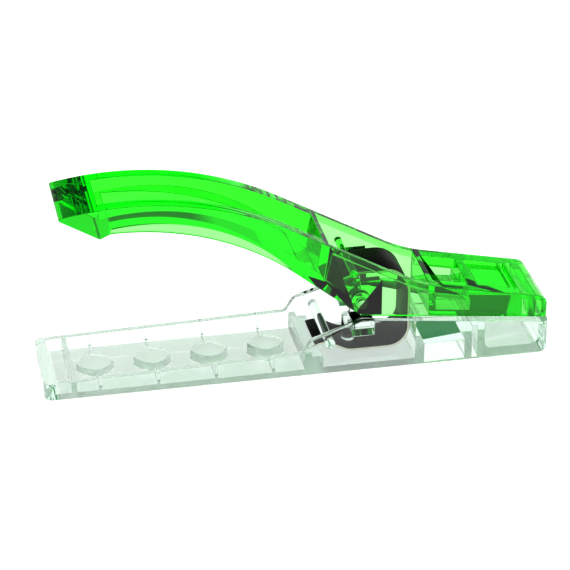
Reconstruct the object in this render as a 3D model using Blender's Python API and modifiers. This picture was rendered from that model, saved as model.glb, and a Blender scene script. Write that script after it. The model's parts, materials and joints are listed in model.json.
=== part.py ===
"""Spring clip for closing bags: a flat clear lower lever, an arched upper lever and a bow spring.

The clip lies on the flat underside of the lower lever. +X runs from the handles to the jaws, +Y across
the width and +Z up. The origin is on the underside, below the middle of the length and of the width.
Places along X are measured from the hinge and sections are drawn as (x, z) outlines.
"""

import math

import bmesh
import bpy
from mathutils import Matrix

MM = 0.001

# Overall sizes.
HANDLE_LENGTH = 72.6 * MM  # hinge to the handle end of the lower lever
JAW_LENGTH = 43.4 * MM  # hinge to the tip of the jaws
LOWER_WIDTH = 22.0 * MM
LEDGE = 1.65 * MM  # how far the lower lever stands out past the upper one, each side
FIT_GAP = 0.3 * MM  # between faces that touch
SIDE_GAP = 0.25 * MM  # between faces that slide past each other

# Hinge: two ears of the lower lever carry pins that sit in holes of the upper lever.
HINGE_HEIGHT = 15.6 * MM
PIN_RADIUS = 1.0 * MM
EAR_RADIUS = 2.3 * MM
EAR_THICKNESS = 1.7 * MM
EAR_INSET = 0.1 * MM  # an ear's inner face, behind that of its block
EAR_ROOT = 2.5 * MM  # half the length of the block under an ear
ROOT_CLEARANCE = 0.6 * MM  # between the block under an ear and the parting plane
BLOCK_THICKNESS = 3.15 * MM  # from a side of the green lever to the inner face of the block around a pin
BLOCK_BACK = 4.0 * MM
BLOCK_FRONT = 4.2 * MM
BLOCK_TOP = 21.4 * MM
BLOCK_INSET = 0.3 * MM  # the block's lower edge, above that of the lever
SOCKET_WALL = 0.8 * MM  # left outside a pin's blind hole
ROOT_HEIGHT = 3.4 * MM

# Parting plane, where the two jaws meet.
PARTING_HEIGHT = 12.85 * MM  # at the hinge
PARTING_TILT = math.radians(6.4)

# Upper lever, side outline.
CROWN_HEIGHT = 45.4 * MM
CROWN_TO_HINGE = 52.6 * MM
CROWN_RADIUS = 75.0 * MM
SHOULDER_TILT = math.radians(29.0)
NOSE_HEIGHT = 13.3 * MM  # of the jaw's top line at the tip
JAW_TILT = math.radians(11.7)
NECK_RADIUS = 35.0 * MM
NOSE_RADIUS = 3.0 * MM
TIP_TO_HINGE = 68.3 * MM
CHIN_TO_HINGE = 58.8 * MM
CHIN_HEIGHT = 38.1 * MM
CHIN_LENGTH = 2.4 * MM
ARCH_HEIGHT = 39.2 * MM
ARCH_TO_HINGE = 54.6 * MM
ARCH_RADIUS = 62.0 * MM
ARCH_TILT = math.radians(39.0)
TIP_CORNER = 0.8 * MM
UPPER_CORNER = 1.3 * MM  # seen from above

# Upper lever, walls. The handle is a trough on top and is hollow below its web.
WEB_HEIGHT = 40.5 * MM
WEB_TO_HINGE = 49.1 * MM
WEB_RADIUS = 45.0 * MM
WEB_THICKNESS = 2.4 * MM
WEB_TILT = math.radians(58.0)
SKIRT_LEAST = 0.25 * MM  # where the skirts have run out
RAIL_WIDTH = 3.3 * MM
SKIRT_WALL = 1.2 * MM
TIP_PAD = 9.6 * MM  # solid pad at the handle's tip
FLANGE_HEIGHT = 2.9 * MM  # of the thick lower edge beside the spring
FLANGE_WIDTH = 1.6 * MM
FLANGE_FRONT = 1.6 * MM  # the flange ends this far before the hinge
PLATE_HEIGHT = 2.4 * MM  # of the plate in front of the end wall
PLATE_END = 5.2 * MM  # the plate under the trough's end stops this far before the hinge

# Spring bay of the upper lever.
BAY_WALL = 0.85 * MM
BAY_RAIL_HEIGHT = 1.8 * MM
END_WALL_TOP = 7.6 * MM  # from the hinge back to the bay's end wall, at its top
END_WALL_FOOT = 9.0 * MM
END_WALL = 1.4 * MM
END_WALL_FOOT_STEP = 0.4 * MM  # the side walls thin out this far in front of the end wall
UPPER_BAR_RADIUS = 0.8 * MM
UPPER_BAR_BACK = 2.1 * MM  # from the hinge back to the bar over the spring
BAR_CLEARANCE = 0.35 * MM  # between a bar and the spring

# Upper jaw: walls across it, counted from the hinge.
BAY_FRONT = 15.4 * MM
FRONT_WALL = 1.5 * MM
POCKET_FRONT = 25.0 * MM
POCKET_RAIL_HEIGHT = 2.7 * MM
JAW_PLATE = 1.4 * MM
JAW_WALL = 0.9 * MM
PAD_START = 27.2 * MM
PAD_END = 35.2 * MM
PAD_DEPTH = 1.0 * MM
TIP_SLOT = 35.8 * MM
TIP_SLOT_WIDTH = 0.8 * MM
TIP_SLOT_DEPTH = 1.6 * MM
CORE_STARTS = (37.4 * MM, 40.7 * MM)
CORE_LENGTH = 1.4 * MM
CORE_ROOF = 1.3 * MM

# Lower lever.
END_RIM_HEIGHT = 4.0 * MM
STEP_RIM_HEIGHT = 5.5 * MM
STEP_BACK = 14.2 * MM  # from the hinge back to the foot of the step
STEP_TOP_BACK = 12.2 * MM
STEP_TOP_HEIGHT = 8.75 * MM
STEP_RADIUS = 1.6 * MM
LOWER_WALL = 1.5 * MM
END_WALL_LOWER = 2.5 * MM
END_POCKET = 3.7 * MM
RIB = 1.0 * MM
FLOOR = 1.0 * MM
LOWER_CORNER = 1.8 * MM  # seen from above
LOWER_NOSE_RADIUS = 2.0 * MM
TRAY_FRONT = 13.4 * MM  # from the hinge back to the tray's front wall
TRAY_WALL = 1.5 * MM
TRAY_WALL_HEIGHT = 5.3 * MM
LEDGE_LENGTH = 2.6 * MM  # seat of the spring's lower end
BAY_FLOOR = 1.2 * MM
LOWER_BAR_BACK = 7.7 * MM
LOWER_BAR_RADIUS = 1.1 * MM
LOWER_JAW_WALL = 12.2 * MM  # from the hinge to the bay's front wall
LOWER_PLATE = 1.6 * MM
HOLLOW_START = 14.2 * MM  # hollow below the jaw, open downwards
HOLLOW_END = 23.8 * MM
HOLLOW_ROOF = 4.8 * MM
LOWER_SLOT = 25.4 * MM
LOWER_SLOT_LENGTH = 1.4 * MM
WELL_START = 28.6 * MM  # well in the jaw's face, open upwards
WELL_END = 41.4 * MM
WELL_FLOOR = 1.4 * MM
WELL_CORNER = 1.6 * MM
WELL_WALL = 1.5 * MM
POST_BACK = 1.6 * MM
POST_RADIUS = 1.3 * MM
POST_HEIGHT = 8.9 * MM

# Raised grip pads on the tray's floor.
LEAF_COUNT = 4
LEAF_PITCH = 13.1 * MM
LEAF_FROM_END = 12.6 * MM
LEAF_LENGTH = 8.6 * MM
LEAF_WIDTH = 7.6 * MM
LEAF_BULGE = 0.75 * MM  # how far each side curves out between two points
LEAF_BELOW_RIM = 1.7 * MM
LEAF_RIB_WIDTH = 0.4 * MM  # thin rib from a pad to the walls
LEAF_RIB_HEIGHT = 0.8 * MM
TICK_WIDTH = 0.35 * MM
TICK_DEPTH = 0.2 * MM
TICK_RISE = 1.3 * MM

# Bow spring.
SPRING_THICKNESS = 0.6 * MM
SPRING_SIDE_GAP = 2.35 * MM  # from an edge of the strip to the rail beside it
SPRING_BOTTOM = 2.6 * MM  # height of the strip's middle at its lowest
SPRING_TOP = 22.1 * MM
SPRING_REACH = 11.5 * MM  # from the hinge forward to the closed end
SPRING_LOW_BEND = 4.8 * MM
SPRING_HIGH_BEND = 6.0 * MM
LOWER_ARM_BACK = 10.3 * MM
HUMP_BACK = 7.7 * MM
HUMP_HEIGHT = 5.3 * MM
HUMP_RUN = 5.0 * MM
HUMP_RADIUS = 5.0 * MM
SEAT_HEIGHT = 4.7 * MM
UPPER_ARM_BACK = 5.2 * MM
DROOP_BACK = 0.6 * MM  # from the hinge back to where the upper arm turns down
DROOP = 1.5 * MM  # how far the upper arm's end lies below its top
DROOP_RADIUS = 5.0 * MM

# Fineness of round stretches.
ARC_STEPS = 36
CORNER_STEPS = 5
ROUND_SIDES = 24
SMOOTH_ANGLE = math.radians(32.0)

MARGIN = 3.0 * MM  # how far a cutter reaches past the surface that it opens

UPPER_WIDTH = LOWER_WIDTH - 2 * LEDGE
UPPER_HALF = UPPER_WIDTH / 2
BLOCK_INSIDE = UPPER_HALF - BLOCK_THICKNESS
SPRING_HALF = UPPER_HALF - FLANGE_WIDTH - SPRING_SIDE_GAP
LOWER_HALF = LOWER_WIDTH / 2
HINGE_X = (HANDLE_LENGTH - JAW_LENGTH) / 2


# ---------------------------------------------------------------- outlines

def arc(centre, radius, start, end, steps):
    """Points of an arc about centre, from angle start to angle end."""
    points = []
    for i in range(steps + 1):
        angle = start + (end - start) * i / steps
        points.append((centre[0] + radius * math.cos(angle), centre[1] + radius * math.sin(angle)))
    return points


def unit(x, y):
    """The direction (x, y) at length 1."""
    length = math.hypot(x, y)
    return x / length, y / length


def corner_arc(before, corner, after, radius, steps=CORNER_STEPS):
    """The rounded corner between two straight runs, or the corner itself where radius is 0."""
    if radius == 0:
        return [corner]
    a = unit(before[0] - corner[0], before[1] - corner[1])
    b = unit(after[0] - corner[0], after[1] - corner[1])
    half = math.acos(max(-1.0, min(1.0, a[0] * b[0] + a[1] * b[1]))) / 2
    reach = radius / math.tan(half)
    inward = unit(a[0] + b[0], a[1] + b[1])
    distance = radius / math.sin(half)
    centre = (corner[0] + inward[0] * distance, corner[1] + inward[1] * distance)
    first = (corner[0] + a[0] * reach, corner[1] + a[1] * reach)
    last = (corner[0] + b[0] * reach, corner[1] + b[1] * reach)
    start = math.atan2(first[1] - centre[1], first[0] - centre[0])
    end = math.atan2(last[1] - centre[1], last[0] - centre[0])
    turn = (end - start + math.pi) % (2 * math.pi) - math.pi
    return arc(centre, radius, start, start + turn, steps)


def rounded(corners, closed=True):
    """An outline from (x, y, radius) corners, each rounded by its radius."""
    points = []
    last = len(corners) - 1
    for i, (x, y, radius) in enumerate(corners):
        if not closed and i in (0, last):
            points.append((x, y))
            continue
        before = corners[i - 1]
        after = corners[(i + 1) % len(corners)]
        points += corner_arc(before[:2], (x, y), after[:2], radius)
    return points


def spread(start, end, steps=ARC_STEPS):
    """Evenly spaced numbers from start to end."""
    return [start + (end - start) * i / steps for i in range(steps + 1)]


def band(xs, low, high):
    """A closed outline between two height functions, over the places xs."""
    return [(x, low(x)) for x in xs] + [(x, high(x)) for x in reversed(xs)]


def dome(x, crown_x, crown_z, radius, tilt):
    """Height of an arc with its crown at (crown_x, crown_z), which runs on straight once it reaches tilt."""
    run = x - crown_x
    arc_run = radius * math.sin(tilt)
    if run <= arc_run:
        return crown_z - radius + math.sqrt(radius ** 2 - run ** 2)
    return crown_z - radius * (1 - math.cos(tilt)) - (run - arc_run) * math.tan(tilt)


def parting(x):
    """Height of the plane where the jaws meet."""
    return PARTING_HEIGHT - x * math.tan(PARTING_TILT)


def upper_face(x):
    """Height of the upper jaw's face."""
    return parting(x) + FIT_GAP / 2


def lower_face(x):
    """Height of the lower jaw's face."""
    return parting(x) - FIT_GAP / 2


def shoulder(x):
    """Height of the upper lever's top line behind the neck."""
    return dome(x, -CROWN_TO_HINGE, CROWN_HEIGHT, CROWN_RADIUS, SHOULDER_TILT)


def jaw_top(x):
    """Height of the upper jaw's straight top line."""
    return NOSE_HEIGHT + (JAW_LENGTH - x) * math.tan(JAW_TILT)


def neck():
    """Points of the hollow round stretch between the shoulder and the jaw's top line."""
    straight = CROWN_RADIUS * math.sin(SHOULDER_TILT) - CROWN_TO_HINGE
    gap = shoulder(straight) - jaw_top(straight)
    x = straight + gap / (math.tan(SHOULDER_TILT) - math.tan(JAW_TILT))
    corner = (x, jaw_top(x))
    return corner_arc((straight, shoulder(straight)), corner, (JAW_LENGTH, NOSE_HEIGHT), NECK_RADIUS)


def ridge(x):
    """Height of the upper lever's top line."""
    bend = neck()
    if x <= bend[0][0]:
        return shoulder(x)
    for (x0, z0), (x1, z1) in zip(bend, bend[1:]):
        if x <= x1:
            return z0 + (z1 - z0) * (x - x0) / (x1 - x0)
    return jaw_top(x)


def arch(x):
    """Height of the lower edge of the upper lever's handle."""
    return dome(x, -ARCH_TO_HINGE, ARCH_HEIGHT, ARCH_RADIUS, ARCH_TILT)


def web_under(x):
    """Height of the underside of the web between the handle's rails."""
    return dome(x, -WEB_TO_HINGE, WEB_HEIGHT, WEB_RADIUS, WEB_TILT)


def trough_floor(x):
    """Height of the trough's floor: the web's top, and further on the plate along the lower edge."""
    web = dome(x, -WEB_TO_HINGE, WEB_HEIGHT + WEB_THICKNESS, WEB_RADIUS + WEB_THICKNESS, WEB_TILT)
    return max(web, arch(x) + FLANGE_HEIGHT)


def peak():
    """Where the handle's lower edge meets the upper jaw's face, close behind the hinge."""
    low = -CHIN_TO_HINGE
    high = JAW_LENGTH
    for _ in range(60):
        middle = (low + high) / 2
        if arch(middle) > upper_face(middle):
            low = middle
        else:
            high = middle
    return low


def rim(x):
    """Height of the tray's walls on the lower lever."""
    share = (x + HANDLE_LENGTH) / (HANDLE_LENGTH - STEP_BACK)
    return END_RIM_HEIGHT + (STEP_RIM_HEIGHT - END_RIM_HEIGHT) * share


def upper_outline():
    """The upper lever from the side."""
    slope = (shoulder(-TIP_TO_HINGE) - CHIN_HEIGHT) / (TIP_TO_HINGE - CHIN_TO_HINGE)
    tip = (-TIP_TO_HINGE, shoulder(-TIP_TO_HINGE))
    start = -TIP_TO_HINGE + 2 * TIP_CORNER
    top = [(x, shoulder(x)) for x in spread(start, -CROWN_TO_HINGE + CROWN_RADIUS * math.sin(SHOULDER_TILT))]
    nose = (JAW_LENGTH, NOSE_HEIGHT)
    under = [(x, arch(x)) for x in spread(-ARCH_TO_HINGE + ARCH_RADIUS * math.sin(ARCH_TILT),
                                          -CHIN_TO_HINGE + CHIN_LENGTH)]
    chin = (-CHIN_TO_HINGE, CHIN_HEIGHT)
    points = corner_arc((tip[0] + MM, tip[1] - slope * MM), tip, top[0], TIP_CORNER / 2)
    points += top + neck()
    points += corner_arc(neck()[-1], nose, (JAW_LENGTH, 0), NOSE_RADIUS)
    points += [(JAW_LENGTH, upper_face(JAW_LENGTH)), (peak(), upper_face(peak()))]
    points += under
    points += corner_arc(under[-1], chin, tip, TIP_CORNER)
    return points


def block_outline():
    """The thick block around a hinge pin on the upper lever, from the side."""
    back = [(x, arch(x) + BLOCK_INSET) for x in spread(-BLOCK_BACK, peak() - BLOCK_INSET, 4)]
    face = [(x, upper_face(x) + BLOCK_INSET) for x in (peak() + BLOCK_INSET, BLOCK_FRONT)]
    return back + face + [(BLOCK_FRONT, BLOCK_TOP), (-BLOCK_BACK, BLOCK_TOP)]


def lower_outline():
    """The lower lever from the side."""
    top = [
        (-HANDLE_LENGTH, END_RIM_HEIGHT, 0),
        (-STEP_BACK, STEP_RIM_HEIGHT, STEP_RADIUS),
        (-STEP_TOP_BACK, STEP_TOP_HEIGHT, STEP_RADIUS),
        (peak(), lower_face(peak()), 0),
        (JAW_LENGTH, lower_face(JAW_LENGTH), 0),
        (JAW_LENGTH, 0, LOWER_NOSE_RADIUS),
        (-HANDLE_LENGTH, 0, 0),
    ]
    return rounded(top)


def bowed(start, end, bulge, steps):
    """Points of an arc from start to end that curves out to the right by bulge, without its end point."""
    chord = math.hypot(end[0] - start[0], end[1] - start[1])
    ahead = unit(end[0] - start[0], end[1] - start[1])
    outward = (ahead[1], -ahead[0])
    radius = (chord ** 2 / 4 + bulge ** 2) / (2 * bulge)
    middle = ((start[0] + end[0]) / 2, (start[1] + end[1]) / 2)
    centre = (middle[0] + outward[0] * (bulge - radius), middle[1] + outward[1] * (bulge - radius))
    half = math.asin(chord / 2 / radius)
    facing = math.atan2(outward[1], outward[0])
    return arc(centre, radius, facing - half, facing + half, steps)[:-1]


def leaf_outline(x):
    """A raised pad of the tray from above: four points joined by arcs."""
    points = [(x + LEAF_LENGTH / 2, 0.0), (x, LEAF_WIDTH / 2), (x - LEAF_LENGTH / 2, 0.0), (x, -LEAF_WIDTH / 2)]
    outline = []
    for start, end in zip(points, points[1:] + points[:1]):
        outline += bowed(start, end, LEAF_BULGE, 2 * CORNER_STEPS)
    return outline


def spring_line():
    """The middle line of the bow spring's strip, from its lower end to its upper end."""
    lower_arm = [
        (-LOWER_ARM_BACK, SEAT_HEIGHT, 0),
        (-HUMP_BACK, HUMP_HEIGHT, HUMP_RADIUS),
        (-HUMP_BACK + HUMP_RUN, SPRING_BOTTOM, HUMP_RADIUS),
        (SPRING_REACH - SPRING_LOW_BEND, SPRING_BOTTOM, 0),
    ]
    upper_arm = [
        (SPRING_REACH - SPRING_HIGH_BEND, SPRING_TOP, 0),
        (-DROOP_BACK, SPRING_TOP, DROOP_RADIUS),
        (-UPPER_ARM_BACK, SPRING_TOP - DROOP, 0),
    ]
    low_centre = (SPRING_REACH - SPRING_LOW_BEND, SPRING_BOTTOM + SPRING_LOW_BEND)
    high_centre = (SPRING_REACH - SPRING_HIGH_BEND, SPRING_TOP - SPRING_HIGH_BEND)
    points = rounded(lower_arm, closed=False)[:-1]
    points += arc(low_centre, SPRING_LOW_BEND, -math.pi / 2, 0, ARC_STEPS // 2)
    points += arc(high_centre, SPRING_HIGH_BEND, 0, math.pi / 2, ARC_STEPS // 2)
    return points + rounded(upper_arm, closed=False)[1:]


# ---------------------------------------------------------------- Blender helpers

def clear_scene():
    """Remove every object that the scene holds."""
    for thing in list(bpy.data.objects):
        bpy.data.objects.remove(thing, do_unlink=True)


def new_collection(name):
    """Add a collection to the scene."""
    collection = bpy.data.collections.new(name)
    bpy.context.scene.collection.children.link(collection)
    return collection


def outline_mesh(name, points, low, high, upright=True):
    """A closed solid from an outline, from low to high across it.

    An upright outline is drawn in X and Z and reaches across Y; a flat one is drawn in X and Y.
    """
    curve = bpy.data.curves.new(name, "CURVE")
    curve.dimensions = "2D"
    curve.fill_mode = "BOTH"
    curve.extrude = (high - low) / 2
    spline = curve.splines.new("POLY")
    spline.points.add(len(points) - 1)
    for point, (x, y) in zip(spline.points, points):
        point.co = (x, y, 0.0, 1.0)
    spline.use_cyclic_u = True
    guide = bpy.data.objects.new(name, curve)
    bpy.context.scene.collection.objects.link(guide)
    middle = (low + high) / 2
    guide.location = (0.0, middle, 0.0) if upright else (0.0, 0.0, middle)
    guide.rotation_euler[0] = math.pi / 2 if upright else 0.0
    bpy.context.view_layer.update()
    drawn = guide.evaluated_get(bpy.context.evaluated_depsgraph_get())
    mesh = bpy.data.meshes.new_from_object(drawn)
    mesh.transform(guide.matrix_world)
    bpy.data.objects.remove(guide, do_unlink=True)
    bpy.data.curves.remove(curve)
    weld(mesh)
    return mesh


def weld(mesh):
    """Merge a mesh's doubled points and turn its faces outward."""
    shape = bmesh.new()
    shape.from_mesh(mesh)
    bmesh.ops.remove_doubles(shape, verts=shape.verts, dist=0.001 * MM)
    bmesh.ops.recalc_face_normals(shape, faces=shape.faces)
    shape.to_mesh(mesh)
    shape.free()


def bar_mesh(name, x, z, radius, low, high):
    """A round bar across the width, from low to high along Y."""
    shape = bmesh.new()
    bmesh.ops.create_cone(shape, cap_ends=True, segments=ROUND_SIDES, radius1=radius, radius2=radius,
                          depth=high - low)
    turn = Matrix.Rotation(math.pi / 2, 4, "X")
    move = Matrix.Translation((x, (low + high) / 2, z))
    bmesh.ops.transform(shape, matrix=move @ turn, verts=shape.verts)
    mesh = bpy.data.meshes.new(name)
    shape.to_mesh(mesh)
    shape.free()
    return mesh


def post_mesh(name, x, radius, low, high):
    """A round post that stands upright from low to high."""
    shape = bmesh.new()
    bmesh.ops.create_cone(shape, cap_ends=True, segments=ROUND_SIDES, radius1=radius, radius2=radius,
                          depth=high - low)
    bmesh.ops.translate(shape, vec=(x, 0.0, (low + high) / 2), verts=shape.verts)
    mesh = bpy.data.meshes.new(name)
    shape.to_mesh(mesh)
    shape.free()
    return mesh


def strip_mesh(name, line, half_width):
    """An open strip: a line in X and Z, drawn out across Y."""
    shape = bmesh.new()
    left = [shape.verts.new((x, -half_width, z)) for x, z in line]
    for a, b in zip(left, left[1:]):
        shape.edges.new((a, b))
    drawn = bmesh.ops.extrude_edge_only(shape, edges=shape.edges[:])
    moved = [v for v in drawn["geom"] if isinstance(v, bmesh.types.BMVert)]
    bmesh.ops.translate(shape, vec=(0.0, 2 * half_width, 0.0), verts=moved)
    mesh = bpy.data.meshes.new(name)
    shape.to_mesh(mesh)
    shape.free()
    return mesh


def material(name, colour, roughness, metallic, clear=0.0):
    """A plain material. clear is the share of light that goes through."""
    made = bpy.data.materials.new(name)
    made.use_nodes = True
    shader = made.node_tree.nodes["Principled BSDF"]
    shader.inputs["Base Color"].default_value = (*colour, 1.0)
    shader.inputs["Roughness"].default_value = roughness
    shader.inputs["Metallic"].default_value = metallic
    shader.inputs["Transmission Weight"].default_value = clear
    made.diffuse_color = (*colour, 1.0)
    return made


class Builder:
    """Makes one piece of the clip and cuts and joins it with helper shapes.

    Meshes are drawn with X from the hinge and Z from the underside. origin_z puts the piece's own origin
    at a height above the hinge's place, so that a moving piece turns about its own origin.
    """

    def __init__(self, name, mesh, finish, pieces, tools, origin_z=0.0):
        self.tools = tools
        mesh.name = name
        mesh.materials.append(finish)
        mesh.transform(Matrix.Translation((0.0, 0.0, -origin_z)))
        self.piece = bpy.data.objects.new(name, mesh)
        self.piece.location = (HINGE_X, 0.0, origin_z)
        pieces.objects.link(self.piece)

    def use(self, mesh, operation):
        """Cut, join or trim the piece with a shape, by a Boolean modifier."""
        tool = bpy.data.objects.new(f"{self.piece.name}_{mesh.name}", mesh)
        tool.location = (HINGE_X, 0.0, 0.0)
        tool.hide_render = True
        tool.display_type = "WIRE"
        self.tools.objects.link(tool)
        step = self.piece.modifiers.new(mesh.name, "BOOLEAN")
        step.operation = operation
        step.solver = "EXACT"
        step.object = tool

    def cut(self, name, outline, half_width):
        """Cut an upright outline out of the middle of the piece."""
        self.use(outline_mesh(name, outline, -half_width, half_width), "DIFFERENCE")

    def cut_between(self, name, xs, low, high, half_width):
        """Cut out the space between two height functions, over the places xs."""
        self.cut(name, band(xs, low, high), half_width)

    def smooth(self, angle):
        """Shade the piece smooth, with edges past angle kept sharp."""
        self.piece.data.shade_smooth()
        self.piece.data.set_sharp_from_angle(angle=angle)


def both_sides(low, high):
    """The same stretch of Y on the near and on the far side."""
    return ((-high, -low), (low, high))


# ---------------------------------------------------------------- pieces

def build_upper_lever(pieces, tools):
    """The arched lever: trough and skirts in the handle, an open bay for the spring, pockets in the jaw."""
    finish = material("green_plastic", (0.04, 0.80, 0.02), 0.05, 0.0, 0.9)
    body = outline_mesh("body", upper_outline(), -UPPER_HALF, UPPER_HALF)
    lever = Builder("upper_lever", body, finish, pieces, tools, HINGE_HEIGHT)
    plan = rounded([
        (-TIP_TO_HINGE - MM, -UPPER_HALF, UPPER_CORNER),
        (JAW_LENGTH, -UPPER_HALF, UPPER_CORNER),
        (JAW_LENGTH, UPPER_HALF, UPPER_CORNER),
        (-TIP_TO_HINGE - MM, UPPER_HALF, UPPER_CORNER),
    ])
    lever.use(outline_mesh("plan", plan, 0.0, CROWN_HEIGHT + MARGIN, upright=False), "INTERSECT")

    cut_handle(lever)
    cut_upper_bay(lever)
    cut_upper_jaw(lever)

    bar_height = SPRING_TOP + SPRING_THICKNESS / 2 + BAR_CLEARANCE + UPPER_BAR_RADIUS
    reach = UPPER_HALF - BAY_WALL / 2
    lever.use(bar_mesh("bar", -UPPER_BAR_BACK, bar_height, UPPER_BAR_RADIUS, -reach, reach), "UNION")
    for low, high in both_sides(BLOCK_INSIDE, UPPER_HALF - BAY_WALL / 2):
        lever.use(outline_mesh("hinge_block", block_outline(), low, high), "UNION")
    socket = UPPER_HALF - SOCKET_WALL
    hole = PIN_RADIUS + FIT_GAP
    lever.use(bar_mesh("socket", 0.0, HINGE_HEIGHT, hole, -socket, socket), "DIFFERENCE")
    lever.smooth(SMOOTH_ANGLE)


def cut_handle(lever):
    """The trough on top of the handle and the hollow between the skirts below it."""
    trough_start = -TIP_TO_HINGE + TIP_PAD
    foot = -END_WALL_FOOT - END_WALL
    top = -END_WALL_TOP - END_WALL
    floor = [(x, trough_floor(x)) for x in spread(trough_start, foot)]
    lid = [(top, ridge(top)), (top, CROWN_HEIGHT + MARGIN), (trough_start, CROWN_HEIGHT + MARGIN)]
    lever.cut("trough", floor + lid, UPPER_HALF - RAIL_WIDTH)

    start = -CHIN_TO_HINGE + CHIN_LENGTH
    xs = [x for x in spread(start, 0.0, 3 * ARC_STEPS) if web_under(x) - arch(x) > SKIRT_LEAST]
    lever.cut_between("hollow", xs, lambda x: arch(x) - MARGIN, web_under, UPPER_HALF - SKIRT_WALL)


def cut_upper_bay(lever):
    """The bay around the spring: open on top between the rails, and open below in front of the plate."""
    foot = -END_WALL_FOOT
    top = -END_WALL_TOP
    plate = [(x, arch(x) + PLATE_HEIGHT) for x in spread(foot, -PLATE_END, 3)]
    below = [(-PLATE_END, 0.0), (BAY_FRONT, 0.0)]
    lid = [(BAY_FRONT, CROWN_HEIGHT), (top + MARGIN, CROWN_HEIGHT), (top, ridge(top))]
    lever.cut("bay", plate + below + lid, UPPER_HALF - FLANGE_WIDTH)

    low = [(x, arch(x) + FLANGE_HEIGHT) for x in spread(foot + END_WALL_FOOT_STEP, -FLANGE_FRONT, 4)]
    low += [(-FLANGE_FRONT, 0.0), (BAY_FRONT, 0.0)]
    start = top + END_WALL_FOOT_STEP
    high = [(x, ridge(x) - BAY_RAIL_HEIGHT) for x in reversed(spread(start, BAY_FRONT))]
    lever.cut("thin_wall", low + high, UPPER_HALF - BAY_WALL)


def cut_upper_jaw(lever):
    """The pocket, the sunk pad, the slot and the hollows of the upper jaw."""
    pocket = spread(BAY_FRONT + FRONT_WALL, POCKET_FRONT, 6)
    roof = UPPER_HALF - RAIL_WIDTH
    lever.cut_between("pocket", pocket, lambda x: upper_face(x) + JAW_PLATE,
                      lambda x: ridge(x) + MARGIN, roof)
    lever.cut_between("pocket_sides", pocket, lambda x: upper_face(x) + JAW_PLATE,
                      lambda x: ridge(x) - POCKET_RAIL_HEIGHT, UPPER_HALF - JAW_WALL)
    lever.cut_between("pad", [PAD_START, PAD_END], lambda x: ridge(x) - PAD_DEPTH,
                      lambda x: ridge(x) + MARGIN, roof)
    lever.cut_between("tip_slot", [TIP_SLOT, TIP_SLOT + TIP_SLOT_WIDTH], lambda x: ridge(x) - TIP_SLOT_DEPTH,
                      lambda x: ridge(x) + MARGIN, roof)
    for i, start in enumerate(CORE_STARTS):
        lever.cut_between(f"core_{i + 1}", [start, start + CORE_LENGTH], lambda x: 0.0,
                          lambda x: ridge(x) - CORE_ROOF, UPPER_HALF - FLANGE_WIDTH)


def build_lower_lever(pieces, tools):
    """The flat lever: a tray with raised pads, a bay for the spring, hinge ears and a hollow jaw."""
    finish = material("clear_plastic", (0.93, 0.99, 0.96), 0.03, 0.0, 0.95)
    body = outline_mesh("body", lower_outline(), -LOWER_HALF, LOWER_HALF)
    lever = Builder("lower_lever", body, finish, pieces, tools)
    plan = rounded([
        (-HANDLE_LENGTH, -LOWER_HALF, LOWER_CORNER),
        (JAW_LENGTH, -LOWER_HALF, LOWER_CORNER),
        (JAW_LENGTH, LOWER_HALF, LOWER_CORNER),
        (-HANDLE_LENGTH, LOWER_HALF, LOWER_CORNER),
    ])
    lever.use(outline_mesh("plan", plan, -MARGIN, HINGE_HEIGHT + MARGIN, upright=False), "INTERSECT")
    inside = LOWER_HALF - LOWER_WALL

    pocket_start = -HANDLE_LENGTH + END_WALL_LOWER
    pocket_end = pocket_start + END_POCKET
    pocket = [pocket_start, pocket_end]
    lever.cut_between("end_pocket", pocket, lambda x: FLOOR, lambda x: HINGE_HEIGHT, inside)
    tray_start = pocket_end + RIB
    wall_front = -TRAY_FRONT + TRAY_WALL
    ledge_front = wall_front + LEDGE_LENGTH
    seat = SEAT_HEIGHT - SPRING_THICKNESS / 2 - FIT_GAP
    lever.cut("tray_and_bay", [
        (tray_start, HINGE_HEIGHT),
        (tray_start, FLOOR),
        (-TRAY_FRONT, FLOOR),
        (-TRAY_FRONT, TRAY_WALL_HEIGHT),
        (wall_front, TRAY_WALL_HEIGHT),
        (wall_front, seat),
        (ledge_front, seat),
        (ledge_front, BAY_FLOOR),
        (LOWER_JAW_WALL, BAY_FLOOR),
        (LOWER_JAW_WALL, HINGE_HEIGHT),
    ], inside)
    lever.cut_between("hollow", [HOLLOW_START, HOLLOW_END], lambda x: -MARGIN, lambda x: HOLLOW_ROOF, inside)
    slot = [LOWER_SLOT, LOWER_SLOT + LOWER_SLOT_LENGTH]
    lever.cut_between("slot", slot, lambda x: -MARGIN, lambda x: lower_face(x) - LOWER_PLATE, inside)
    lever.cut("well", rounded([
        (WELL_START, HINGE_HEIGHT, 0),
        (WELL_START, WELL_FLOOR, WELL_CORNER),
        (WELL_END, WELL_FLOOR, WELL_CORNER),
        (WELL_END, HINGE_HEIGHT, 0),
    ]), UPPER_HALF - WELL_WALL)

    add_tray_pads(lever, inside)
    add_spring_holders(lever, inside)
    add_hinge_ears(lever, inside)
    lever.smooth(SMOOTH_ANGLE)


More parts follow.
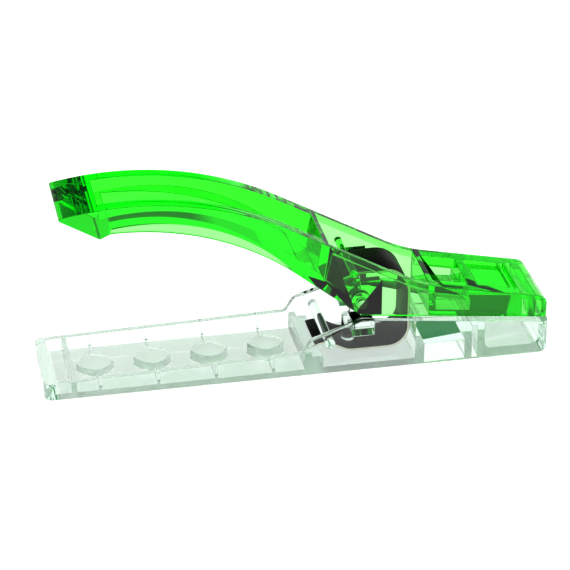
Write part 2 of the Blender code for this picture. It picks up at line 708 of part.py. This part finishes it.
def add_tray_pads(lever, inside):
    """The raised pads on the tray's floor, each with a thin rib to both walls and one up their inner faces."""
    foot = inside + LOWER_WALL / 2
    half_rib = LEAF_RIB_WIDTH / 2
    half_tick = TICK_WIDTH / 2
    for i in range(LEAF_COUNT):
        x = -HANDLE_LENGTH + LEAF_FROM_END + i * LEAF_PITCH
        top = rim(x) - LEAF_BELOW_RIM
        lever.use(outline_mesh(f"pad_{i + 1}", leaf_outline(x), FLOOR / 2, top, upright=False), "UNION")
        rib = [(x - half_rib, -foot), (x + half_rib, -foot), (x + half_rib, foot), (x - half_rib, foot)]
        rib_top = FLOOR + LEAF_RIB_HEIGHT
        lever.use(outline_mesh(f"pad_rib_{i + 1}", rib, FLOOR / 2, rib_top, upright=False), "UNION")
        tick = [(x - half_tick, FLOOR / 2), (x + half_tick, FLOOR / 2),
                (x + half_tick, top + TICK_RISE), (x - half_tick, top + TICK_RISE)]
        for low, high in both_sides(inside - TICK_DEPTH, inside + TICK_DEPTH):
            lever.use(outline_mesh(f"tick_{i + 1}", tick, low, high), "UNION")


def add_spring_holders(lever, inside):
    """The round bar over the spring's lower arm and the post that stands through it."""
    height = HUMP_HEIGHT + SPRING_THICKNESS / 2 + BAR_CLEARANCE + LOWER_BAR_RADIUS
    reach = inside + LOWER_WALL / 2
    lever.use(bar_mesh("bar", -LOWER_BAR_BACK, height, LOWER_BAR_RADIUS, -reach, reach), "UNION")
    lever.use(post_mesh("post", -POST_BACK, POST_RADIUS, BAY_FLOOR / 2, POST_HEIGHT), "UNION")


def add_hinge_ears(lever, inside):
    """Two ears inside the upper lever's walls, each with a block out to the side wall and a hinge pin."""
    outer = BLOCK_INSIDE - SIDE_GAP
    inner = outer - EAR_THICKNESS
    root_top = lower_face(EAR_ROOT) - ROOT_CLEARANCE
    root_low = root_top - ROOT_HEIGHT
    ear = arc((0.0, HINGE_HEIGHT), EAR_RADIUS, 0.0, math.pi, ARC_STEPS // 2)
    ear += [(-EAR_RADIUS, root_low + MM / 2), (EAR_RADIUS, root_low + MM / 2)]
    root = [(-EAR_ROOT, root_low), (EAR_ROOT, root_low), (EAR_ROOT, root_top), (-EAR_ROOT, root_top)]
    for low, high in both_sides(inner, inside + LOWER_WALL / 2):
        lever.use(outline_mesh("ear_root", root, low, high), "UNION")
    for low, high in both_sides(inner + EAR_INSET, outer):
        lever.use(outline_mesh("ear", ear, low, high), "UNION")
    for low, high in both_sides(outer - EAR_THICKNESS / 2, UPPER_HALF - SOCKET_WALL - FIT_GAP):
        lever.use(bar_mesh("pin", 0.0, HINGE_HEIGHT, PIN_RADIUS, low, high), "UNION")


def build_bow_spring(pieces, tools):
    """The flat steel strip, bowed round the hinge, which pushes the handles apart."""
    finish = material("dark_steel", (0.05, 0.04, 0.035), 0.3, 0.9)
    strip = strip_mesh("strip", spring_line(), SPRING_HALF)
    spring = Builder("bow_spring", strip, finish, pieces, tools)
    wall = spring.piece.modifiers.new("wall", "SOLIDIFY")
    wall.thickness = SPRING_THICKNESS
    wall.offset = 0.0
    wall.use_even_offset = True
    hole = post_mesh("post_hole", -POST_BACK, POST_RADIUS + FIT_GAP, 0.0, SPRING_BOTTOM + SPRING_LOW_BEND)
    spring.use(hole, "DIFFERENCE")
    spring.smooth(SMOOTH_ANGLE)


def main():
    """Build the clip."""
    clear_scene()
    pieces = new_collection("bag_clip")
    tools = new_collection("cutters")
    build_lower_lever(pieces, tools)
    build_upper_lever(pieces, tools)
    build_bow_spring(pieces, tools)
    tools.hide_render = True


main()
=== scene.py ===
"""Looks of a spring clip for closing bags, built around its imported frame.

The clip has a clear lower lever with a tray, an arched green see-through upper lever, and a bow spring of
dark strip steel between them. Everything is in metres: +X runs from the handles to the jaws, +Y across the
width and +Z up from the underside.
"""

import json
import logging
import math
from collections.abc import Callable, Sequence
from dataclasses import dataclass
from enum import Enum

import bpy
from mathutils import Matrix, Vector

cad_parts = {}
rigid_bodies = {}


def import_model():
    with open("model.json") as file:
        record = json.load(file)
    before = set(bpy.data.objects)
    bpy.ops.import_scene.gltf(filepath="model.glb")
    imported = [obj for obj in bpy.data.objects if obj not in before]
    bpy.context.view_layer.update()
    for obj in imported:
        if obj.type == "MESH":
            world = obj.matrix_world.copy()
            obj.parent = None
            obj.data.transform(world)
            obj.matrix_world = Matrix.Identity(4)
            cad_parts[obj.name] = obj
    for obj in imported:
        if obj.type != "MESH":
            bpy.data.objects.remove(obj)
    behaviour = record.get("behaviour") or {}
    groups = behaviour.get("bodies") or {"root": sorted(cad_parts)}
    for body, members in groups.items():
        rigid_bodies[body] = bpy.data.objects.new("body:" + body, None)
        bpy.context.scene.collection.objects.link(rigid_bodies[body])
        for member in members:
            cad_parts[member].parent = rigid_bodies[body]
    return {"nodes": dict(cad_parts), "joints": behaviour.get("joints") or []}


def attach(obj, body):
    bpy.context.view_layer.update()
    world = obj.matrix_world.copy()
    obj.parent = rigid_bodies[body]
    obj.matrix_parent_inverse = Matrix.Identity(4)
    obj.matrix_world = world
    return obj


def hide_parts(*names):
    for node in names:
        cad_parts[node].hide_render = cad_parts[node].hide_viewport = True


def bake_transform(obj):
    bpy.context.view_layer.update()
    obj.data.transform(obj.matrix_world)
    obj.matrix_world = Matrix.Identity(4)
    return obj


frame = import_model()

log = logging.getLogger("bag_clip")

MM = 0.001
Flat = tuple[float, float]
Point = tuple[float, float, float]
Colour = tuple[float, float, float]

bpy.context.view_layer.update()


class Body(Enum):
    """The moving bodies of the frame."""

    LOWER = "lower_body"
    UPPER = "upper_body"


# ---------------------------------------------------------------- shader maths

class Sock:
    """A shader socket that does arithmetic: each operator adds its Math node."""

    def __init__(self, graph: "Graph", socket: bpy.types.NodeSocket) -> None:
        """Wraps a socket.

        Args:
            graph: The graph that new nodes go into.
            socket: The output socket that is wrapped.
        """
        self.graph = graph
        self.socket = socket

    def _math(self, operation: str, first: "Value", second: "Value") -> "Sock":
        """Adds one Math node and returns its result."""
        made = self.graph.node("ShaderNodeMath", {"operation": operation}, {0: first, 1: second})
        return Sock(self.graph, made.outputs[0])

    def __add__(self, other: "Value") -> "Sock":
        """Sum."""
        return self._math("ADD", self, other)

    def __radd__(self, other: "Value") -> "Sock":
        """Sum, with the number first."""
        return self._math("ADD", other, self)

    def __mul__(self, other: "Value") -> "Sock":
        """Product."""
        return self._math("MULTIPLY", self, other)

    def __rmul__(self, other: "Value") -> "Sock":
        """Product, with the number first."""
        return self._math("MULTIPLY", other, self)

    def __lt__(self, other: "Value") -> "Sock":
        """1 where it is less, else 0."""
        return self._math("LESS_THAN", self, other)

    def __gt__(self, other: "Value") -> "Sock":
        """1 where it is more, else 0."""
        return self._math("GREATER_THAN", self, other)


Value = float | Sock


class Graph:
    """Makes the nodes of one material or world."""

    def __init__(self, tree: bpy.types.NodeTree) -> None:
        """Starts from an empty tree.

        Args:
            tree: The node tree to fill.
        """
        self.tree = tree
        tree.nodes.clear()

    def node(self, kind: str, settings: dict | None = None, values: dict | None = None) -> bpy.types.Node:
        """Adds a node.

        Args:
            kind: The node's type.
            settings: Its settings. The key "stops" holds a ramp's (place, colour) stops.
            values: Numbers, colours or links for its sockets, by name or number.

        Returns:
            The new node.
        """
        made = self.tree.nodes.new(kind)
        for name, value in (settings or {}).items():
            if name == "stops":
                self._stops(made, value)
            else:
                setattr(made, name, value)
        for key, value in (values or {}).items():
            socket = made.inputs[key]
            if isinstance(value, Sock):
                self.tree.links.new(value.socket, socket)
            else:
                socket.default_value = value
        return made

    def out(self, kind: str, output: str | int = 0, settings: dict | None = None,
            values: dict | None = None) -> Sock:
        """Adds a node and wraps one of its outputs.

        Args:
            kind: The node's type.
            output: The output's name or number.
            settings: The node's settings.
            values: What its sockets hold.

        Returns:
            The wrapped output.
        """
        return Sock(self, self.node(kind, settings, values).outputs[output])

    @staticmethod
    def _stops(ramp: bpy.types.Node, stops: Sequence[tuple[float, Colour]]) -> None:
        """Sets a colour ramp's stops."""
        elements = ramp.color_ramp.elements
        while len(elements) < len(stops):
            elements.new(1.0)
        for element, (place, colour) in zip(elements, stops):
            element.position = place
            element.color = (*colour, 1.0)


# ---------------------------------------------------------------- finishes

@dataclass(frozen=True)
class MoldedPlastic:
    """See-through injection-molded plastic, tinted by how much of it the light crosses.

    tint colours the surface, and passed is the colour that the light keeps inside, by density. The underside,
    below frosted_below and from frosted_from toward the jaws, is rougher by frosting.
    """

    name: str
    tint: Colour
    passed: Colour
    density: float
    ior: float = 1.55
    roughness: float = 0.012
    haze: float = 0.03
    ripple: float = 0.004
    ripple_depth: float = 0.4 * MM
    flow_scale: Point = (90.0, 260.0, 260.0)
    haze_scale: float = 900.0
    frosting: float = 0.45
    frosted_below: float = 0.05 * MM
    frosted_from: float = -54.5 * MM

    def material(self) -> bpy.types.Material:
        """Makes the material.

        Returns:
            The new material.
        """
        made = bpy.data.materials.new(self.name)
        made.use_nodes = True
        graph = Graph(made.node_tree)
        place = graph.out("ShaderNodeTexCoord", "Object")
        flow = graph.out("ShaderNodeMapping", 0, None, {"Vector": place, "Scale": self.flow_scale})
        streaks = graph.out("ShaderNodeTexNoise", "Fac", None, {"Vector": flow, "Scale": 1.0, "Detail": 2.0})
        grain = graph.out("ShaderNodeTexNoise", "Fac", None, {
            "Vector": place, "Scale": self.haze_scale, "Detail": 1.0})
        bump = graph.out("ShaderNodeBump", 0, None, {
            "Height": streaks, "Strength": self.ripple, "Distance": self.ripple_depth})
        split = graph.node("ShaderNodeSeparateXYZ", None, {"Vector": place})
        along = Sock(graph, split.outputs["X"])
        height = Sock(graph, split.outputs["Z"])
        frosted = (height < self.frosted_below) * (along > self.frosted_from)
        shader = graph.out("ShaderNodeBsdfPrincipled", 0, None, {
            "Base Color": (*self.tint, 1.0),
            "Roughness": grain * self.haze + self.roughness + frosted * self.frosting,
            "IOR": self.ior,
            "Transmission Weight": 1.0,
            "Normal": bump,
        })
        depth = graph.out("ShaderNodeVolumeAbsorption", 0, None, {
            "Color": (*self.passed, 1.0), "Density": self.density})
        graph.node("ShaderNodeOutputMaterial", None, {"Surface": shader, "Volume": depth})
        made.diffuse_color = (*self.tint, 1.0)
        return made


@dataclass(frozen=True)
class StripSteel:
    """Hardened strip steel with a dark heat skin, drawn along its length."""

    name: str
    dark: Colour
    light: Colour
    roughness: float
    line_scale: Point = (60.0, 2600.0, 60.0)
    line_strength: float = 0.12
    line_depth: float = 0.05 * MM
    line_roughness: float = 0.15
    cloud_scale: float = 220.0

    def material(self) -> bpy.types.Material:
        """Makes the material.

        Returns:
            The new material.
        """
        made = bpy.data.materials.new(self.name)
        made.use_nodes = True
        graph = Graph(made.node_tree)
        place = graph.out("ShaderNodeTexCoord", "Object")
        drawn = graph.out("ShaderNodeMapping", 0, None, {"Vector": place, "Scale": self.line_scale})
        lines = graph.out("ShaderNodeTexNoise", "Fac", None, {"Vector": drawn, "Scale": 1.0, "Detail": 3.0})
        clouds = graph.out("ShaderNodeTexNoise", "Fac", None, {
            "Vector": place, "Scale": self.cloud_scale, "Detail": 4.0})
        skin = graph.out("ShaderNodeMix", "Result", {"data_type": "RGBA"}, {
            "Factor": clouds, "A": (*self.dark, 1.0), "B": (*self.light, 1.0)})
        bump = graph.out("ShaderNodeBump", 0, None, {
            "Height": lines, "Strength": self.line_strength, "Distance": self.line_depth})
        shader = graph.out("ShaderNodeBsdfPrincipled", 0, None, {
            "Base Color": skin,
            "Metallic": 1.0,
            "Roughness": lines * self.line_roughness + self.roughness,
            "Normal": bump,
        })
        graph.node("ShaderNodeOutputMaterial", None, {"Surface": shader})
        made.diffuse_color = (*self.dark, 1.0)
        return made


CLEAR = MoldedPlastic("clear_plastic", (0.955, 0.995, 0.975), (0.17, 0.70, 0.40), 14.0)
GREEN = MoldedPlastic("green_plastic", (0.88, 0.995, 0.86), (0.13, 0.992, 0.02), 820.0)
DARK_STEEL = StripSteel("dark_steel", (0.005, 0.004, 0.004), (0.016, 0.012, 0.011), 0.40)
CUT_STEEL = StripSteel("cut_steel", (0.62, 0.58, 0.50), (0.78, 0.74, 0.66), 0.22)


# ---------------------------------------------------------------- modelling

class Modeller:
    """The modelling steps that every piece is made with."""

    MERGE = 0.005 * MM
    FLAT_ANGLE = math.radians(0.4)
    SMOOTH_ANGLE = math.radians(38.0)

    @staticmethod
    def only(piece: bpy.types.Object) -> None:
        """Makes a piece the only selected one, and the active one."""
        for thing in bpy.context.view_layer.objects:
            thing.select_set(False)
        piece.select_set(True)
        bpy.context.view_layer.objects.active = piece

    @staticmethod
    def select(piece: bpy.types.Object, wanted: Callable[[bpy.types.MeshPolygon], bool]) -> None:
        """Selects a piece's faces by their place or normal, from object mode.

        Args:
            piece: The piece.
            wanted: Says whether a face is selected.
        """
        mesh = piece.data
        for group in (mesh.vertices, mesh.edges):
            for element in group:
                element.select = False
        for face in mesh.polygons:
            face.select = wanted(face)

    @classmethod
    def edit(cls, piece: bpy.types.Object, mode: str = "FACE") -> None:
        """Opens a piece in edit mode.

        Args:
            piece: The piece.
            mode: VERT, EDGE or FACE.
        """
        cls.only(piece)
        bpy.ops.object.mode_set(mode="EDIT")
        bpy.ops.mesh.select_mode(type=mode)

    @staticmethod
    def done() -> None:
        """Leaves edit mode."""
        bpy.ops.object.mode_set(mode="OBJECT")

    @classmethod
    def apply(cls, piece: bpy.types.Object, kind: str, **settings: object) -> None:
        """Adds a modifier and applies it.

        Args:
            piece: The piece.
            kind: The modifier's type.
            settings: Its settings.
        """
        cls.only(piece)
        step = piece.modifiers.new(kind.lower(), kind)
        for name, value in settings.items():
            setattr(step, name, value)
        bpy.ops.object.modifier_apply(modifier=step.name)

    @classmethod
    def settle(cls, piece: bpy.types.Object) -> None:
        """Puts a piece's place into its mesh, so that its object sits at the origin."""
        cls.only(piece)
        bpy.ops.object.transform_apply(location=True, rotation=True, scale=True)

    @classmethod
    def cut(cls, piece: bpy.types.Object, tool: bpy.types.Object) -> None:
        """Cuts a helper shape out of a piece, and removes the helper.

        Args:
            piece: The piece.
            tool: The helper shape.
        """
        cls.apply(piece, "BOOLEAN", object=tool, operation="DIFFERENCE", solver="EXACT")
        bpy.data.objects.remove(tool, do_unlink=True)

    @classmethod
    def copy_node(cls, node: str, name: str) -> bpy.types.Object:
        """A clean copy of a frame node: its triangles merged, and its flat faces made whole.

        Args:
            node: The frame node.
            name: The new piece's name.

        Returns:
            The new piece.
        """
        piece = bpy.data.objects.new(name, frame["nodes"][node].data.copy())
        piece.data.name = name
        piece.data.materials.clear()
        bpy.context.scene.collection.objects.link(piece)
        cls.edit(piece)
        bpy.ops.mesh.select_all(action="SELECT")
        if piece.data.has_custom_normals:
            bpy.ops.mesh.customdata_custom_splitnormals_clear()
        bpy.ops.mesh.remove_doubles(threshold=cls.MERGE)
        bpy.ops.mesh.normals_make_consistent(inside=False)
        bpy.ops.mesh.dissolve_limited(angle_limit=cls.FLAT_ANGLE)
        cls.done()
        return piece

    @classmethod
    def soften(cls, piece: bpy.types.Object, width: float, angle: float = 32.0) -> None:
        """Rounds a piece's sharp edges, and shades it smooth up to an angle.

        Args:
            piece: The piece.
            width: The rounding's width.
            angle: Edges sharper than this, in degrees, are rounded.
        """
        cls.apply(piece, "BEVEL", width=width, segments=2, limit_method="ANGLE",
                  angle_limit=math.radians(angle), use_clamp_overlap=False, miter_outer="MITER_SHARP",
                  harden_normals=False)
        cls.only(piece)
        bpy.ops.object.shade_smooth_by_angle(angle=cls.SMOOTH_ANGLE)
        cls.apply(piece, "WEIGHTED_NORMAL", mode="FACE_AREA", weight=100, keep_sharp=True)


# ---------------------------------------------------------------- lines

def arc(centre: Flat, radius: float, start: float, end: float, steps: int) -> list[Flat]:
    """Points of an arc.

    Args:
        centre: The arc's centre.
        radius: Its radius.
        start: The angle it starts at, in degrees.
        end: The angle it ends at, in degrees.
        steps: How many straight steps it has.

    Returns:
        Its points, both ends included.
    """
    angles = [math.radians(start + (end - start) * i / steps) for i in range(steps + 1)]
    return [(centre[0] + radius * math.cos(a), centre[1] + radius * math.sin(a)) for a in angles]


def between(start: Flat, end: Flat, steps: int) -> list[Flat]:
    """Evenly spaced points from start to end, without either.

    Args:
        start: Where the run starts.
        end: Where the run ends.
        steps: How many straight steps it has.

    Returns:
        The points inside the run.
    """
    return [(start[0] + (end[0] - start[0]) * i / steps, start[1] + (end[1] - start[1]) * i / steps)
            for i in range(1, steps)]


def fillet(before: Point, corner: Point, after: Point, steps: int = 6) -> list[Flat]:
    """The rounded corner between two straight runs.

    Args:
        before: A point on the run that comes in.
        corner: The corner, with its radius as the third number.
        after: A point on the run that goes out.
        steps: How many straight steps the corner has.

    Returns:
        The corner's points.
    """
    at = Vector(corner[:2])
    back = (Vector(before[:2]) - at).normalized()
    on = (Vector(after[:2]) - at).normalized()
    half = back.angle(on) / 2
    centre = at + (back + on).normalized() * corner[2] / math.sin(half)
    first = at + back * corner[2] / math.tan(half) - centre
    last = at + on * corner[2] / math.tan(half) - centre
    start = math.degrees(math.atan2(first.y, first.x))
    turn = (math.degrees(math.atan2(last.y, last.x)) - start + 180.0) % 360.0 - 180.0
    return arc(tuple(centre), corner[2], start, start + turn, steps)


# ---------------------------------------------------------------- sub-assemblies

@dataclass
class LowerLever:
    """The clear lever that the clip lies on."""

    finish: MoldedPlastic = CLEAR
    edge: float = 0.18 * MM

    def build(self) -> bpy.types.Object:
        """Builds the lever.

        Returns:
            The finished piece.
        """
        piece = Modeller.copy_node("lower_lever", "clear_lever")
        Modeller.soften(piece, self.edge)
        piece.data.materials.append(self.finish.material())
        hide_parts("lower_lever")
        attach(piece, Body.LOWER.value)
        return piece


@dataclass
class UpperLever:
    """The green lever, which turns on the lower one's pins."""

    finish: MoldedPlastic = GREEN
    edge: float = 0.2 * MM

    def build(self) -> bpy.types.Object:
        """Builds the lever.

        Returns:
            The finished piece.
        """
        piece = Modeller.copy_node("upper_lever", "green_lever")
        Modeller.soften(piece, self.edge)
        piece.data.materials.append(self.finish.material())
        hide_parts("upper_lever")
        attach(piece, Body.UPPER.value)
        return piece


@dataclass
class BowSpring:
    """The strip of spring steel that is bowed round the hinge. Its closed end lies toward the jaws.

    Distances along X are from the hinge. hump, trough and droop are corners of the strip's middle line, each
    with its radius as the third number.
    """

    hinge: Vector
    skin: StripSteel = DARK_STEEL
    cut: StripSteel = CUT_STEEL
    thickness: float = 0.6 * MM
    half_width: float = 5.4 * MM
    bottom: float = 2.6 * MM
    top: float = 22.1 * MM
    reach: float = 11.5 * MM
    low_bend: float = 4.8 * MM
    high_bend: float = 6.0 * MM
    lower_end: Point = (-10.3 * MM, 4.7 * MM, 0.0)
    hump: Point = (-7.7 * MM, 5.3 * MM, 5.0 * MM)
    trough: Point = (-2.7 * MM, 2.6 * MM, 5.0 * MM)
    droop: Point = (-0.6 * MM, 22.1 * MM, 5.0 * MM)
    upper_end: Point = (-5.2 * MM, 20.6 * MM, 0.0)
    post: float = -1.6 * MM
    post_hole: float = 1.6 * MM
    hole_depth: float = 6 * MM
    edge: float = 0.08 * MM
    edge_band: float = MM / 10
    clamped: float = 2 * MM
    run_steps: int = 6
    bend_steps: int = 14

    def line(self) -> list[Flat]:
        """The strip's middle line, from its lower end to its upper end, with X from the hinge.

        Returns:
            The line's (x, z) points.
        """
        low_x = self.reach - self.low_bend
        high_x = self.reach - self.high_bend
        low_z = self.bottom + self.low_bend
        high_z = self.top - self.high_bend
        points = [self.lower_end[:2]]
        points += fillet(self.lower_end, self.hump, self.trough)
        points += fillet(self.hump, self.trough, (low_x, self.bottom, 0.0))
        points += between((points[-1][0], self.bottom), (low_x, self.bottom), self.run_steps)
        points += arc((low_x, low_z), self.low_bend, -90.0, 0.0, self.bend_steps)
        points += between((self.reach, low_z), (self.reach, high_z), self.run_steps)
        points += arc((high_x, high_z), self.high_bend, 0.0, 90.0, self.bend_steps)
        turned = fillet((high_x, self.top, 0.0), self.droop, self.upper_end)
        points += between((high_x, self.top), turned[0], self.run_steps)
        return points + turned + [self.upper_end[:2]]

    def build(self) -> bpy.types.Object:
        """Builds the spring.

        Returns:
            The finished piece.
        """
        line = self.line()
        first = line[0]
        bpy.ops.mesh.primitive_plane_add(size=1.0, location=(self.hinge.x + first[0], 0.0, first[1]))
        piece = bpy.context.active_object
        piece.name = piece.data.name = "steel_bow"
        Modeller.edit(piece, "VERT")
        bpy.ops.mesh.select_all(action="SELECT")
        bpy.ops.transform.resize(value=(0.0, 2 * self.half_width, 1.0), center_override=piece.location)
        bpy.ops.mesh.remove_doubles(threshold=0.01 * MM)
        for before, after in zip(line, line[1:]):
            step = (after[0] - before[0], 0.0, after[1] - before[1])
            bpy.ops.mesh.extrude_region_move(TRANSFORM_OT_translate={"value": step})
        bpy.ops.mesh.select_all(action="SELECT")
        bpy.ops.mesh.normals_make_consistent(inside=False)
        Modeller.done()
        Modeller.settle(piece)
        Modeller.apply(piece, "SOLIDIFY", thickness=self.thickness, offset=0.0, use_even_offset=True)
        bpy.ops.mesh.primitive_cylinder_add(
            vertices=40, radius=self.post_hole, depth=self.hole_depth,
            location=(self.hinge.x + self.post, 0.0, self.bottom))
        Modeller.cut(piece, bpy.context.active_object)
        Modeller.apply(piece, "BEVEL", width=self.edge, segments=2, limit_method="ANGLE",
                       angle_limit=math.radians(50.0), use_clamp_overlap=False)
        piece.data.materials.append(self.skin.material())
        piece.data.materials.append(self.cut.material())
        rim = self.half_width - self.edge_band
        for face in piece.data.polygons:
            face.material_index = int(abs(face.normal.y) > 0.9 and abs(face.center.y) > rim)
        Modeller.only(piece)
        bpy.ops.object.shade_smooth_by_angle(angle=math.radians(35.0))
        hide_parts("bow_spring")
        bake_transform(piece)
        return piece


@dataclass
class Studio:
    """A pale floor, soft lights and the camera.

    The surroundings are pale, apart from one dark green gap, a round patch that darkens from gap_edge to
    gap_core, the cosines of its two angles from its own direction.
    """

    middle: Point = (-1.5 * MM, 0.0, 17.7 * MM)
    azimuth: float = -11.25
    elevation: float = 28.2
    distance: float = 566.3 * MM
    lens: float = 157.9
    floor_size: float = 6.0
    floor_glow: float = 0.97
    behind: Colour = (0.92, 0.92, 0.92)
    view_gamma: float = 0.78
    bounces: int = 32
    gloss_bounces: int = 12
    gap_colour: Colour = (0.05, 0.30, 0.11)
    gap_azimuth: float = -11.25
    gap_elevation: float = 28.2
    gap_edge: float = 0.94
    gap_core: float = 0.975

    def build(self) -> None:
        """Builds the floor, the lights, the world and the camera."""
        self.floor()
        self.world()
        self.light("top_light", (0.05, -0.1, 0.9), 0.9, 6.0)
        self.light("left_light", (-0.8, -0.5, 0.5), 0.5, 3.0)
        self.camera()
        scene = bpy.context.scene
        scene.view_settings.view_transform = "Standard"
        scene.view_settings.gamma = self.view_gamma
        scene.cycles.max_bounces = self.bounces
        scene.cycles.transmission_bounces = self.bounces
        scene.cycles.glossy_bounces = self.gloss_bounces

    def floor(self) -> None:
        """Lays the floor."""
        bpy.ops.mesh.primitive_plane_add(size=self.floor_size, location=(0.0, 0.0, -0.05 * MM))
        floor = bpy.context.active_object
        floor.name = "floor"
        made = bpy.data.materials.new("floor")
        made.use_nodes = True
        graph = Graph(made.node_tree)
        shader = graph.out("ShaderNodeBsdfPrincipled", 0, None, {
            "Base Color": (0.2, 0.2, 0.2, 1.0), "Roughness": 0.9, "Specular IOR Level": 0.0,
            "Emission Color": (1.0, 1.0, 1.0, 1.0), "Emission Strength": self.floor_glow})
        graph.node("ShaderNodeOutputMaterial", None, {"Surface": shader})
        floor.data.materials.append(made)

    def world(self) -> None:
        """Sets the surroundings: pale overhead and behind, greyer low in front, with one dark gap behind."""
        world = bpy.data.worlds.new("studio")
        bpy.context.scene.world = world
        world.use_nodes = True
        graph = Graph(world.node_tree)
        place = graph.out("ShaderNodeTexCoord", "Generated")
        height = graph.out("ShaderNodeSeparateXYZ", "Z", None, {"Vector": place})
        depth = graph.out("ShaderNodeSeparateXYZ", "Y", None, {"Vector": place})
        front = graph.out("ShaderNodeValToRGB", "Color", {"stops": [
            (0.0, (0.50, 0.55, 0.52)), (0.5, (0.50, 0.55, 0.52)), (0.72, (0.9, 0.9, 0.9)),
            (1.0, (1.0, 1.0, 1.0))]}, {"Fac": height})
        side = graph.out("ShaderNodeMapRange", "Result", None, {
            "Value": depth, "From Min": -0.25, "From Max": 0.15})
        room = graph.out("ShaderNodeMix", "Result", {"data_type": "RGBA"}, {
            "Factor": side, "A": front, "B": (*self.behind, 1.0)})
        aim = graph.out("ShaderNodeVectorMath", "Value", {"operation": "DOT_PRODUCT"}, {
            0: place, 1: self.gap_direction()})
        gap = graph.out("ShaderNodeMapRange", "Result", None, {
            "Value": aim, "From Min": self.gap_edge, "From Max": self.gap_core})
        sky = graph.out("ShaderNodeMix", "Result", {"data_type": "RGBA"}, {
            "Factor": gap, "A": room, "B": (*self.gap_colour, 1.0)})
        shine = graph.out("ShaderNodeBackground", 0, None, {"Color": sky, "Strength": 1.0})
        graph.node("ShaderNodeOutputWorld", None, {"Surface": shine})

    def gap_direction(self) -> Point:
        """The direction from the clip to the dark gap in the surroundings."""
        turn = math.radians(self.gap_azimuth)
        rise = math.radians(self.gap_elevation)
        return (-math.sin(turn) * math.cos(rise), math.cos(turn) * math.cos(rise), math.sin(rise))

    def light(self, name: str, place: Point, size: float, power: float) -> None:
        """Hangs one soft light that faces the clip.

        Args:
            name: The light's name.
            place: Where it hangs.
            size: Its side.
            power: Its power in watts.
        """
        data = bpy.data.lights.new(name, "AREA")
        data.shape = "SQUARE"
        data.size = size
        data.energy = power
        lamp = bpy.data.objects.new(name, data)
        bpy.context.scene.collection.objects.link(lamp)
        lamp.location = place
        lamp.rotation_euler = (Vector(self.middle) - Vector(place)).to_track_quat("-Z", "Y").to_euler()

    def camera(self) -> None:
        """Sets the camera."""
        turn = math.radians(self.azimuth)
        rise = math.radians(self.elevation)
        away = Vector((math.sin(turn) * math.cos(rise), -math.cos(turn) * math.cos(rise), math.sin(rise)))
        data = bpy.data.cameras.new("camera")
        data.sensor_width = 36.0
        data.lens = self.lens
        data.clip_start = 0.01
        data.clip_end = 20.0
        camera = bpy.data.objects.new("camera", data)
        bpy.context.scene.collection.objects.link(camera)
        camera.location = Vector(self.middle) + away * self.distance
        camera.rotation_euler = (-away).to_track_quat("-Z", "Y").to_euler()
        bpy.context.scene.camera = camera


def main() -> None:
    """Builds the clip and its studio."""
    logging.basicConfig(level=logging.INFO, format="%(name)s: %(message)s")
    hinge = Vector(frame["joints"][0]["pos_m"])
    for part in (LowerLever(), UpperLever(), BowSpring(hinge)):
        piece = part.build()
        log.info("built %s with %d faces", piece.name, len(piece.data.polygons))
    Studio().build()


if __name__ == "__main__":
    main()
